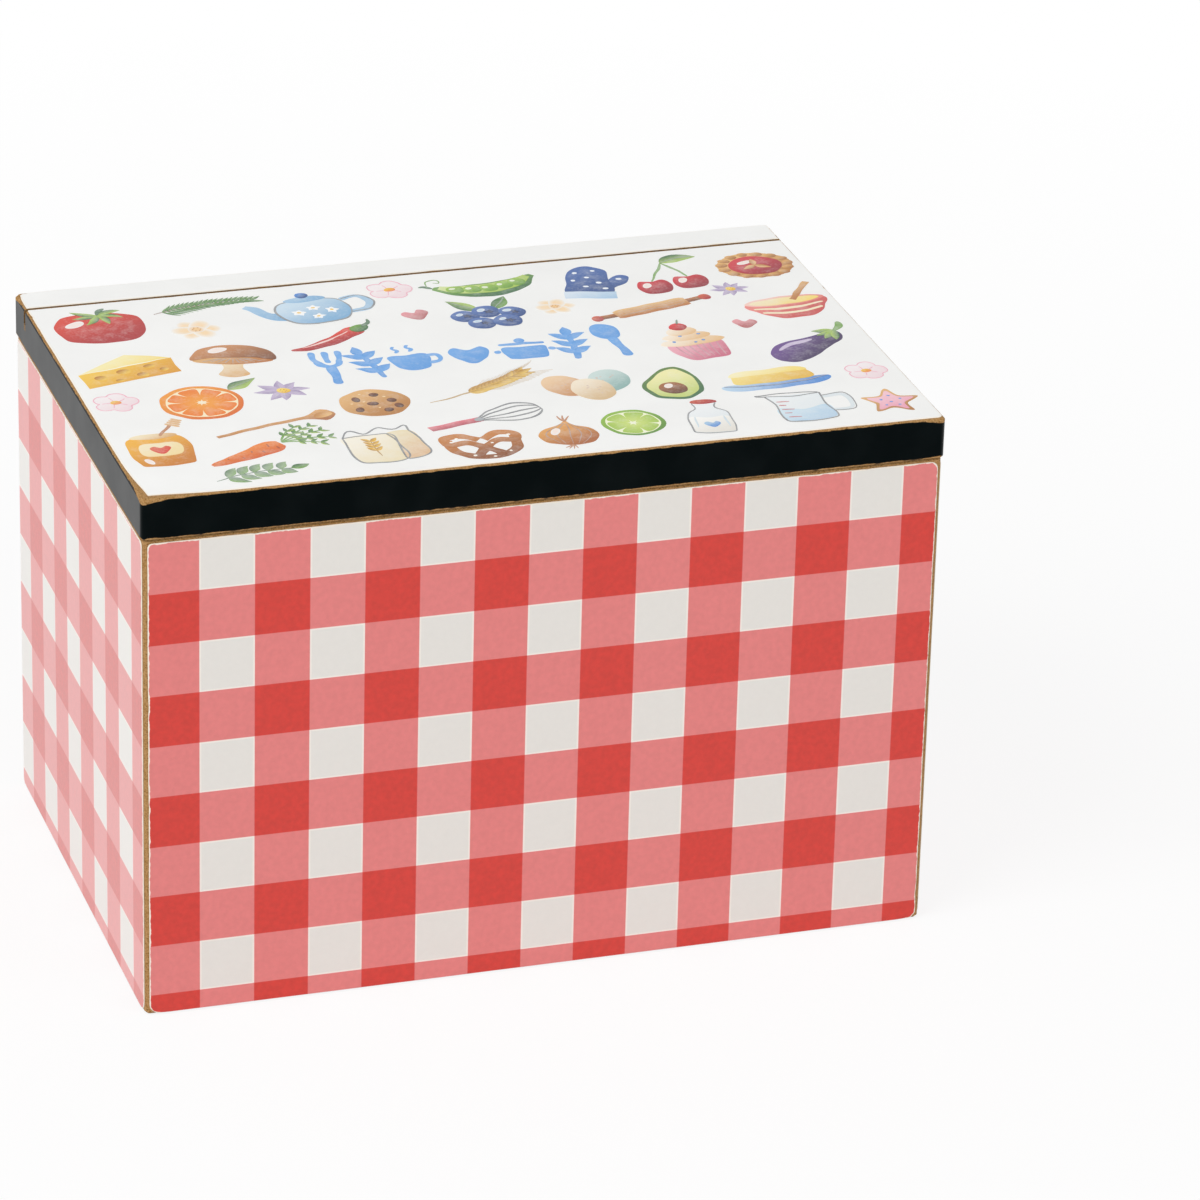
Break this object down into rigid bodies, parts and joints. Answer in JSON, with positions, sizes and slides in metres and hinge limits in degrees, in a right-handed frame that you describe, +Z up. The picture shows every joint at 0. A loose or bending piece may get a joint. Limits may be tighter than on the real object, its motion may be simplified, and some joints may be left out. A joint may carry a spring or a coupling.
{
  "type": "recipe card box",
  "caption": "Lidded recipe card box: papered board walls, a flush painted lid on small butt hinges, and a saw-cut groove across the lid that props a card upright.",
  "frame": {"origin": "centre of the body's resting face", "axes": "+Z up, +X along the box's width to the right seen from the front, the front is at -Y and the hinges are at +Y"},
  "size_m": [0.1584, 0.1091, 0.108],
  "materials": {
    "painted_board": "satin",
    "gingham_paper": "matte",
    "lid_paper": "matte",
    "hinge_brass": "satin",
    "brad_steel": "satin"
  },
  "bodies": {
    "body": {"front_panel": "painted_board", "back_panel": "painted_board", "left_side_panel": "painted_board", "right_side_panel": "painted_board", "floor_panel": "painted_board", "front_paper": "gingham_paper", "back_paper": "gingham_paper", "left_side_paper": "gingham_paper", "right_side_paper": "gingham_paper", "front_brads": "brad_steel", "back_brads": "brad_steel", "floor_brads": "brad_steel", "left_hinge_body_leaf": "hinge_brass", "right_hinge_body_leaf": "hinge_brass", "left_hinge_pin": "hinge_brass", "right_hinge_pin": "hinge_brass", "body_hinge_screws": "hinge_brass"},
    "lid": {"lid_board": "painted_board", "lid_paper_main": "lid_paper", "lid_paper_rear_strip": "lid_paper", "left_hinge_lid_leaf": "hinge_brass", "right_hinge_lid_leaf": "hinge_brass", "lid_hinge_screws": "hinge_brass"}
  },
  "joints": [
    {"name": "lid_hinge", "type": "hinge", "parent": "body", "child": "lid", "pos_m": [0, 0.0548, 0.0995], "axis": [-1, 0, 0], "range_deg": [0, 205]}
  ]
}
